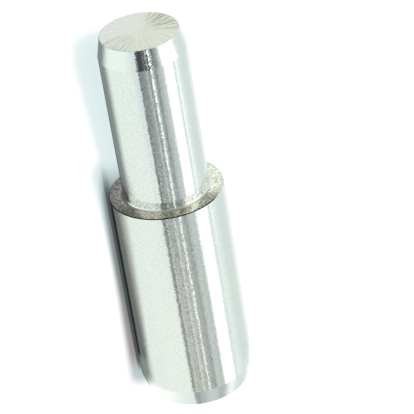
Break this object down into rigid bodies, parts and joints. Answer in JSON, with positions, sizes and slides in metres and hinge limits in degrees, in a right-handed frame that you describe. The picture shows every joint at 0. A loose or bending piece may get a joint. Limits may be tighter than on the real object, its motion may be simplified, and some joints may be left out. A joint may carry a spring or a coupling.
{
  "type": "stepped dowel pin",
  "caption": "Ground steel dowel pin with a wide end, a shoulder and a narrower end, both with lead-in tapers, for locating one part on another.",
  "frame": {"origin": "middle of the large end's foot face, which the pin stands on", "axes": "+Z along the pin's axis, towards the small end"},
  "size_m": [0.008, 0.008, 0.0282],
  "materials": {
    "ground_steel": "ground bright, with faced ends"
  },
  "bodies": {
    "root": {"stepped_pin": "ground_steel"}
  },
  "joints": []
}
